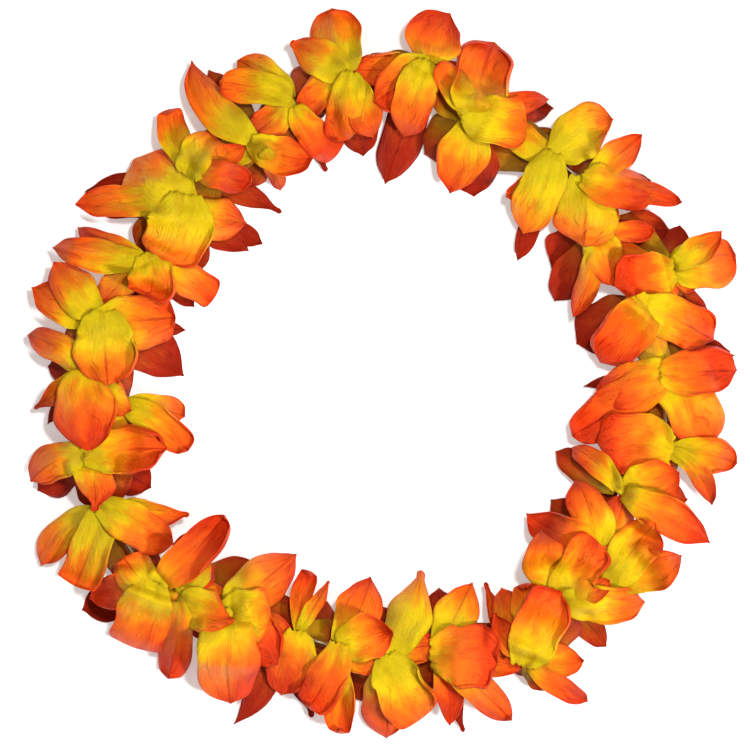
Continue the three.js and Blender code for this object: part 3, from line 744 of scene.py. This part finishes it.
def shade_all():
    """Paints shade into the cloth's colour: on every low petal and cover, and more where another petal lies
    over the cloth.
    """
    top = uppermost([petal.points for petal in PETALS])
    for number, petal in enumerate(PETALS):
        own = LOW_SHADE if petal.low else OVER_SHADE if petal.cover else 0
        over = blurred(covered(petal.points, number, top), SHADE_BLUR)
        petal.shade = (own + COVERED_SHADE * over) * smooth_step(0.02, 0.22, petal.T)


settle_all()
shade_all()

# The pieces
DYES = {"yellow": 0.2, "red": 0.85, "olive": 0.3}
PLAIN_DYE = 0.5
DYE_SPREAD = 0.22
VALLEY_SIDE_DYE = 0.3
SIDE_DYE = 0.14
NO_VALUES = (0, 0, 0, 0, 0)
# The eye's along, across, dye, chance and painted shade
EYE_VALUES = (0.05, 0.2, 0.35, 0.5, 0.3)
EYE_SIDES, EYE_CORNERS = 36, 10
EYE_RADIUS = 2.9
EYE_ROUNDING = 1.0
EYE_HALF_LENGTH = 1.5
EYE_FLUTES = 9
EYE_FLUTE_DEPTH = 0.18
TUBE_SIDES = 24
TUBE_LIP = 0.15
CORD_SIDES = 10
CORD_STEP = 0.8
CORD_LAY = 3.2  # length of one turn of the plies
CORD_EASING = 3
KNOT_STEPS, KNOT_SIDES = 60, 8
KNOT_CORD_RADIUS = 0.45
KNOT_SCALE = 0.42


class MeshParts:
    """Gathers points and faces of one piece, with the attributes that its material reads."""

    def __init__(self):
        self.points, self.faces, self.values = [], [], []

    def add(self, points, faces, values=None):
        base = len(self.points)
        self.points.extend(points)
        self.values.extend(values or [NO_VALUES] * len(points))
        self.faces.extend([tuple(base + i for i in face) for face in faces])

    def make(self, name):
        mesh = bpy.data.meshes.new(name)
        mesh.from_pydata([tuple(p * M_PER_MM) for p in np.array(self.points)], [], self.faces)
        for column, attribute in enumerate(("along", "across", "dye", "chance", "shade")):
            layer = mesh.attributes.new(attribute, "FLOAT", "POINT")
            layer.data.foreach_set("value", np.array(self.values)[:, column].astype(np.float32))
        mesh.polygons.foreach_set("use_smooth", [True] * len(mesh.polygons))
        mesh.update()
        piece = bpy.data.objects.new(name, mesh)
        bpy.context.scene.collection.objects.link(piece)
        return piece


def ring_faces(rings, corners, flipped=False):
    """Faces between neighbouring rings of points, closed both ways."""
    faces = []
    for i in range(rings):
        here, there = i * corners, (i + 1) % rings * corners
        for j in range(corners):
            j2 = (j + 1) % corners
            if flipped:
                faces.append((here + j, here + j2, there + j2, there + j))
            else:
                faces.append((here + j, there + j, there + j2, here + j2))
    return faces


def sheet_faces(rows, columns):
    """Faces of a sheet with two layers of points, top and bottom, and its edge all round."""
    count = rows * columns
    faces = []
    for r in range(rows - 1):
        for c in range(columns - 1):
            a, b = r * columns + c, r * columns + c + 1
            d, e = a + columns, b + columns
            faces.append((a, b, e, d))
            faces.append((a + count, d + count, e + count, b + count))
    edge = list(range(columns))
    edge += [r * columns + columns - 1 for r in range(1, rows)]
    edge += [(rows - 1) * columns + c for c in range(columns - 2, -1, -1)]
    edge += [r * columns for r in range(rows - 2, 0, -1)]
    for p, q in zip(edge, edge[1:] + edge[:1]):
        faces.append((p + count, q + count, q, p))
    return faces


def normals_of(points):
    down = np.gradient(points, axis=0)
    right = np.gradient(points, axis=1)
    n = np.cross(down, right)
    n /= np.linalg.norm(n, axis=-1, keepdims=True) + 1e-12
    return n if n[..., 2].mean() > 0 else -n


def add_petal(parts, petal):
    points = petal.points
    n = normals_of(points)
    top = (points + n * CLOTH_THICKNESS / 2).reshape(-1, 3)
    bottom = (points - n * CLOTH_THICKNESS / 2).reshape(-1, 3)
    tone, lean = petal.random["tone"], petal.random["lean"]
    dye = next((DYES[word] for word in petal.words if word in DYES), PLAIN_DYE)
    dye += DYE_SPREAD * (tone - 0.5)
    one_sided = VALLEY_SIDE_DYE if "valley" in petal.words else SIDE_DYE * lean
    values = [
        (t, a, dye + one_sided * a, tone, shade)
        for t, a, shade in zip(petal.T.ravel(), petal.A.ravel(), petal.shade.ravel())
    ]
    parts.add(list(top) + list(bottom), sheet_faces(*points.shape[:2]), values + values)


def add_eye(parts, k):
    """The gathered cloth round the cord: a fluted ring."""
    way = cord_way(k)
    side, up = level_and_up(way)
    points = []
    for angle in full_turn(EYE_SIDES):
        for turn in full_turn(EYE_CORNERS):
            flute = EYE_FLUTE_DEPTH * math.cos(EYE_FLUTES * angle) * (1 + math.cos(turn)) / 2
            radius = EYE_RADIUS + EYE_ROUNDING * math.cos(turn) + flute
            along = way * EYE_HALF_LENGTH * math.sin(turn)
            points.append(EYES[k] + turned_out(side, up, angle) * radius + along)
    parts.add(points, ring_faces(EYE_SIDES, EYE_CORNERS), [EYE_VALUES] * len(points))


def add_tube(parts, k):
    """A clear tube with rounded ends, on the cord between two eyes."""
    span = next_eye(k) - EYES[k]
    way = unit(span)
    start = EYES[k] + way * TUBE_SETBACK
    length = np.linalg.norm(span) - 2 * TUBE_SETBACK
    side, up = level_and_up(way)
    inner, outer, lip = TUBE_BORE_RADIUS, TUBE_RADIUS, TUBE_LIP
    profile = [
        (inner, lip), (inner + lip, 0), (outer - lip, 0), (outer, lip),
        (outer, length - lip), (outer - lip, length), (inner + lip, length), (inner, length - lip),
    ]
    points = []
    for angle in full_turn(TUBE_SIDES):
        out = turned_out(side, up, angle)
        points += [start + out * r + way * t for r, t in profile]
    parts.add(points, ring_faces(TUBE_SIDES, len(profile)))


def cord_line():
    """Points along the cord from eye to eye, with its corners eased."""
    line = []
    for k, eye in enumerate(EYES):
        ahead = next_eye(k)
        steps = max(4, int(np.linalg.norm(ahead - eye) / CORD_STEP))
        line += [eye + (ahead - eye) * i / steps for i in range(steps)]
    line = np.array(line)
    for _ in range(CORD_EASING):
        line = (np.roll(line, 1, axis=0) + 2 * line + np.roll(line, -1, axis=0)) / 4
    return line


def add_cord(parts):
    """Two twisted plies, closed on themselves."""
    line = cord_line()
    step = np.linalg.norm(np.roll(line, -1, axis=0) - line, axis=1)
    turns = round(step.sum() / CORD_LAY)
    twist = 2 * math.pi * turns * np.concatenate([[0], np.cumsum(step)[:-1]]) / step.sum()
    points = []
    for i, centre in enumerate(line):
        side, up = level_and_up(unit(line[(i + 1) % len(line)] - line[i - 1]))
        for angle in full_turn(CORD_SIDES):
            radius = CORD_RADIUS * (0.8 + 0.2 * abs(math.cos(angle - twist[i])))
            points.append(centre + turned_out(side, up, angle) * radius)
    parts.add(points, ring_faces(len(line), CORD_SIDES, flipped=True))


def knot_point(t):
    """A point of a trefoil, a closed overhand knot."""
    return np.array([
        math.sin(t) + 2 * math.sin(2 * t),
        math.cos(t) - 2 * math.cos(2 * t),
        -1.6 * math.sin(3 * t),
    ])


def add_knot(parts):
    """A small overhand knot in the cord."""
    centre = (EYES[KNOT_SPAN] + EYES[KNOT_SPAN + 1]) / 2
    line = [centre + KNOT_SCALE * knot_point(t) for t in full_turn(KNOT_STEPS)]
    points = []
    for i, place in enumerate(line):
        way = unit(line[(i + 1) % KNOT_STEPS] - line[i - 1])
        side = unit(np.cross(way, [0.3, 0.2, 0.93]))
        up = np.cross(way, side)
        points += [place + turned_out(side, up, a) * KNOT_CORD_RADIUS for a in full_turn(KNOT_SIDES)]
    parts.add(points, ring_faces(KNOT_STEPS, KNOT_SIDES, flipped=True))


# Materials
class Net:
    """Short calls for the few kinds of node that the materials use."""

    def __init__(self, tree):
        self.tree = tree

    def put(self, socket, value):
        if isinstance(value, bpy.types.NodeSocket):
            self.tree.links.new(value, socket)
        else:
            socket.default_value = value

    def math(self, operation, a, b=0.0, clamp=False):
        node = self.tree.nodes.new("ShaderNodeMath")
        node.operation = operation
        node.use_clamp = clamp
        self.put(node.inputs[0], a)
        self.put(node.inputs[1], b)
        return node.outputs[0]

    def times(self, a, b, clamp=False):
        return self.math("MULTIPLY", a, b, clamp)

    def plus(self, a, b, clamp=False):
        return self.math("ADD", a, b, clamp)

    def minus(self, a, b):
        return self.math("SUBTRACT", a, b)

    def step(self, value, low, high, to_low=0.0, to_high=1.0):
        node = self.tree.nodes.new("ShaderNodeMapRange")
        node.interpolation_type = "SMOOTHSTEP"
        self.put(node.inputs["Value"], value)
        limits = (("From Min", low), ("From Max", high), ("To Min", to_low), ("To Max", to_high))
        for name, number in limits:
            node.inputs[name].default_value = number
        return node.outputs["Result"]

    def attribute(self, name):
        node = self.tree.nodes.new("ShaderNodeAttribute")
        node.attribute_name = name
        return node.outputs["Fac"]

    def vector(self, x, y, z):
        node = self.tree.nodes.new("ShaderNodeCombineXYZ")
        for socket, value in zip(node.inputs, (x, y, z)):
            self.put(socket, value)
        return node.outputs[0]

    def noise(self, vector, scale, detail=3.0, roughness=0.5):
        node = self.tree.nodes.new("ShaderNodeTexNoise")
        self.put(node.inputs["Vector"], vector)
        node.inputs["Scale"].default_value = scale
        node.inputs["Detail"].default_value = detail
        node.inputs["Roughness"].default_value = roughness
        return node.outputs["Fac"]

    def place(self):
        return self.tree.nodes.new("ShaderNodeTexCoord").outputs["Object"]

    def ramp(self, value, stops):
        node = self.tree.nodes.new("ShaderNodeValToRGB")
        self.put(node.inputs["Fac"], value)
        elements = node.color_ramp.elements
        while len(elements) < len(stops):
            elements.new(0.5)
        for element, (position, tint) in zip(elements, stops):
            element.position = position
            element.color = tint
        return node.outputs["Color"]

    def darken(self, base, share, tint):
        node = self.tree.nodes.new("ShaderNodeMix")
        node.data_type = "RGBA"
        node.blend_type = "MULTIPLY"
        self.put(node.inputs["Factor"], share)
        self.put(node.inputs["A"], base)
        self.put(node.inputs["B"], tint)
        return node.outputs["Result"]

    def bump(self, height, strength, distance, normal=None):
        node = self.tree.nodes.new("ShaderNodeBump")
        self.put(node.inputs["Height"], height)
        node.inputs["Strength"].default_value = strength
        node.inputs["Distance"].default_value = distance
        if normal:
            self.put(node.inputs["Normal"], normal)
        return node.outputs["Normal"]


def new_material(name):
    material = bpy.data.materials.new(name)
    material.use_nodes = True
    tree = material.node_tree
    shader = next(n for n in tree.nodes if n.type == "BSDF_PRINCIPLED")
    return material, Net(tree), shader


def linear(channel):
    c = channel / 255
    return c / 12.92 if c <= 0.04045 else ((c + 0.055) / 1.055) ** 2.4


def colour(r, g, b):
    """A colour given as on screen, 0 to 255, in the linear values that a shader takes."""
    return (linear(r), linear(g), linear(b), 1)


def dye_from_root(net, along, from_middle, blotch, streak):
    """Yellow at the root and red at the tip, with a border that wanders."""
    rim = net.times(net.step(from_middle, 0.62, 1.0), net.step(along, 0.3, 0.8))
    reach = net.plus(along, net.times(net.minus(blotch, 0.5), 0.6))
    reach = net.plus(reach, net.times(net.minus(streak, 0.5), 0.1))
    reach = net.plus(reach, net.times(rim, 0.2))
    reach = net.plus(reach, net.times(net.minus(net.attribute("dye"), 0.5), 0.75), clamp=True)
    return net.ramp(reach, [
        (0.0, colour(216, 190, 8)), (0.26, colour(240, 202, 8)), (0.46, colour(252, 156, 10)),
        (0.62, colour(254, 118, 14)), (0.84, colour(250, 92, 14)), (1.0, colour(230, 62, 6)),
    ])


def pressed_vein_relief_and_shade(net, along, across, place):
    """Veins that fan out from the root, in groups: a mask for their pressed relief and for painted shade
    along them.
    """
    fan = net.plus(net.times(across, 4.2), net.times(net.noise(place, 1.6, 1), 5.0))
    vein_relief_and_shade = net.math("ABSOLUTE", net.minus(net.math("FRACT", fan), 0.5))
    vein_relief_and_shade = net.times(net.step(vein_relief_and_shade, 0.0, 0.15, 1.0, 0.0), net.step(along, 0.25, 0.7))
    return net.times(vein_relief_and_shade, net.step(net.noise(place, 3.4, 2), 0.44, 0.62))


def middle_crease_shade(net, along, from_middle, chance):
    """Nearly half of the petals get painted shade in a dark line down their middle crease."""
    crease = net.times(net.step(from_middle, 0.0, 0.07, 1.0, 0.0), net.step(along, 0.3, 0.7))
    return net.times(crease, net.step(chance, 0.55, 0.6))


def petal_cloth():
    material, net, shader = new_material("petal cloth")
    along, across, chance = (net.attribute(name) for name in ("along", "across", "chance"))
    from_middle = net.math("ABSOLUTE", across)
    seed = net.times(chance, 40)
    petal_place = net.vector(net.times(along, 1.6), across, seed)
    streak_place = net.vector(net.times(along, 1.2), net.times(across, 7.0), seed)
    blotch = net.noise(petal_place, 2.2, 4)
    streak = net.noise(streak_place, 2.0, 4)
    vein_relief_and_shade = pressed_vein_relief_and_shade(net, along, across, petal_place)
    crease = middle_crease_shade(net, along, from_middle, chance)
    dull = net.step(net.noise(petal_place, 1.3, 2), 0.45, 0.66)
    weave = net.noise(net.place(), 1100, 2)
    cloth = dye_from_root(net, along, from_middle, blotch, streak)
    for share, tint in (
        # painted shade along the pressed veins
        (net.times(vein_relief_and_shade, 0.42), colour(190, 60, 20)),
        # painted shade in a dark line down the middle crease
        (net.times(crease, 0.6), colour(170, 60, 24)),
        (net.times(dull, 0.4), colour(206, 176, 110)),
        # painted shade from the shade attribute, toward brown
        (net.times(net.attribute("shade"), 0.95, clamp=True), colour(158, 104, 62)),
        (net.times(net.step(weave, 0.42, 0.62), 0.2), colour(226, 186, 146)),
    ):
        cloth = net.darken(cloth, share, tint)
    net.put(shader.inputs["Base Color"], cloth)
    normal = net.bump(net.times(vein_relief_and_shade, -1.0), 0.7, 0.0006)
    normal = net.bump(net.noise(streak_place, 5.0, 5, 0.6), 0.75, 0.002, normal)
    net.put(shader.inputs["Normal"], net.bump(weave, 0.4, 0.0004, normal))
    net.put(shader.inputs["Roughness"], net.step(blotch, 0.3, 0.7, 0.48, 0.62))
    shader.inputs["Specular IOR Level"].default_value = 0.2
    shader.inputs["Subsurface Weight"].default_value = 0.1
    shader.inputs["Subsurface Radius"].default_value = (0.003, 0.0012, 0.0004)
    shader.inputs["Subsurface Scale"].default_value = 0.5
    return material


def clear_tube():
    material, net, shader = new_material("clear tube")
    scratch = net.noise(net.place(), 900, 3)
    net.put(shader.inputs["Normal"], net.bump(scratch, 0.1, 0.0002))
    net.put(shader.inputs["Roughness"], net.step(scratch, 0.3, 0.7, 0.02, 0.06))
    shader.inputs["Base Color"].default_value = colour(248, 243, 232)
    shader.inputs["IOR"].default_value = 1.14
    shader.inputs["Transmission Weight"].default_value = 1.0
    return material


def cord_fibre():
    material, net, shader = new_material("cord fibre")
    fibre = net.noise(net.place(), 1800, 4)
    tints = [(0.3, colour(206, 190, 160)), (0.7, colour(238, 228, 206))]
    net.put(shader.inputs["Base Color"], net.ramp(fibre, tints))
    net.put(shader.inputs["Normal"], net.bump(fibre, 0.4, 0.0003))
    shader.inputs["Roughness"].default_value = 0.8
    return material


def floor_finish():
    material, net, shader = new_material("pale floor")
    grain = net.noise(net.place(), 30, 3)
    tints = [(0.3, colour(246, 246, 246)), (0.7, colour(250, 250, 250))]
    net.put(shader.inputs["Base Color"], net.ramp(grain, tints))
    shader.inputs["Roughness"].default_value = 0.9
    shader.inputs["Specular IOR Level"].default_value = 0.1
    shader.inputs["Emission Color"].default_value = (1, 0.97, 0.96, 1)
    shader.inputs["Emission Strength"].default_value = 0.36
    return material


CLOTH, TUBE, CORD = petal_cloth(), clear_tube(), cord_fibre()


def finish_piece(piece, material, node):
    piece.data.materials.append(material)
    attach(piece, "root")
    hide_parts(node)


for k in range(len(BLOOMS)):
    parts = MeshParts()
    for petal in PETALS:
        if petal.k == k:
            add_petal(parts, petal)
    add_eye(parts, k)
    finish_piece(parts.make(f"cloth_bloom_{k + 1:02d}"), CLOTH, f"bloom_{k + 1:02d}")

for k in range(len(BLOOMS)):
    if k not in SPANS_WITHOUT_TUBE:
        parts = MeshParts()
        add_tube(parts, k)
        finish_piece(parts.make(f"clear_tube_{k + 1:02d}"), TUBE, f"tube_{k + 1:02d}")

parts = MeshParts()
add_cord(parts)
add_knot(parts)
finish_piece(parts.make("twisted_cord"), CORD, "cord")

# Floor and light, in metres and watts
FLOOR_SIZE = 40
LIGHTS = (
    {"name": "key", "place": (0.9, -0.55, 1.5), "size": 0.22, "power": 29},
    {"name": "top", "place": (0.22, 0.26, 1.7), "size": 0.12, "power": 17},
    {"name": "fill", "place": (-0.3, -0.2, 2.0), "size": 1.8, "power": 4},
)
SKY_COLOUR = (1, 0.95, 0.9, 1)
SKY_STRENGTH = 0.2

bpy.ops.mesh.primitive_plane_add(size=FLOOR_SIZE, location=(0, 0, 0))
floor = bpy.context.object
floor.name = "pale_floor"
floor.data.materials.append(floor_finish())


def area_light(name, place, size, power):
    """A round light that looks at the middle of the lei."""
    light = bpy.data.lights.new(name, "AREA")
    light.energy = power
    light.shape = "DISK"
    light.size = size
    lamp = bpy.data.objects.new(name, light)
    lamp.location = place
    lamp.rotation_euler = (-Vector(place)).to_track_quat("-Z", "Y").to_euler()
    bpy.context.scene.collection.objects.link(lamp)


for light in LIGHTS:
    area_light(**light)
world = bpy.data.worlds.new("studio")
world.use_nodes = True
sky = world.node_tree.nodes["Background"]
sky.inputs["Color"].default_value = SKY_COLOUR
sky.inputs["Strength"].default_value = SKY_STRENGTH
bpy.context.scene.world = world
bpy.context.scene.view_settings.view_transform = "Standard"

# Camera, straight above the middle of the photo
PHOTO_SIDE = 750  # px
CAMERA_PX = (375, 375)
VIEW_HEIGHT = 3.0  # m above what is in focus
FOCUS_HEIGHT = 0.02  # m
SENSOR_WIDTH = 36
lens = bpy.data.cameras.new("photo view")
lens.sensor_width = SENSOR_WIDTH
lens.lens = SENSOR_WIDTH * VIEW_HEIGHT / (PHOTO_SIDE * MM_PER_PX * M_PER_MM)
lens.clip_end = 20
camera = bpy.data.objects.new("photo view", lens)
x, y = plan_point(*CAMERA_PX) * M_PER_MM
camera.location = (x, y, FOCUS_HEIGHT + VIEW_HEIGHT)
bpy.context.scene.collection.objects.link(camera)
bpy.context.scene.camera = camera
